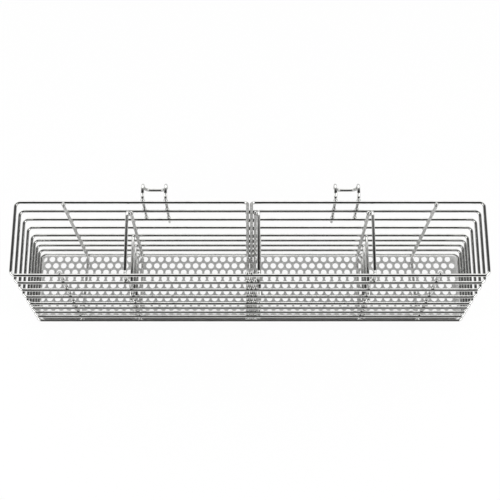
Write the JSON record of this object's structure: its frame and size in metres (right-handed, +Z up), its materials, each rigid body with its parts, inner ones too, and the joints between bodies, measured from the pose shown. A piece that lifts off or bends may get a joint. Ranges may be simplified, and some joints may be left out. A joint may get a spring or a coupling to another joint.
{
  "type": "cutlery drying rack",
  "caption": "Long slim basket of round steel wire with a punched floor sheet, wire dividers and hooks at the back, for draining cutlery.",
  "frame": {"origin": "on the surface that the basket stands on, at the middle of its footprint with the hooks", "axes": "+X along the basket's length, front facing -Y, hooks towards +Y, +Z up"},
  "size_m": [0.4, 0.0837, 0.1405],
  "materials": {
    "bright_wire": "electropolished stainless steel wire",
    "satin_sheet": "satin stainless steel sheet"
  },
  "bodies": {
    "root": {"rim_wire": "bright_wire", "hoop_2": "bright_wire", "hoop_3": "bright_wire", "hoop_4": "bright_wire", "hoop_5": "bright_wire", "hoop_6": "bright_wire", "hoop_7": "bright_wire", "hoop_8": "bright_wire", "hoop_9": "bright_wire", "left_end_rib": "bright_wire", "right_end_rib": "bright_wire", "left_divider_rib": "bright_wire", "left_divider_top_bar": "bright_wire", "left_divider_upper_bar": "bright_wire", "left_divider_middle_bar": "bright_wire", "left_divider_floor_bar": "bright_wire", "centre_divider_rib": "bright_wire", "centre_divider_top_bar": "bright_wire", "centre_divider_upper_bar": "bright_wire", "centre_divider_middle_bar": "bright_wire", "centre_divider_floor_bar": "bright_wire", "right_divider_rib": "bright_wire", "right_divider_top_bar": "bright_wire", "right_divider_upper_bar": "bright_wire", "right_divider_middle_bar": "bright_wire", "right_divider_floor_bar": "bright_wire", "left_hook": "bright_wire", "right_hook": "bright_wire", "floor_sheet": "satin_sheet"}
  },
  "joints": []
}
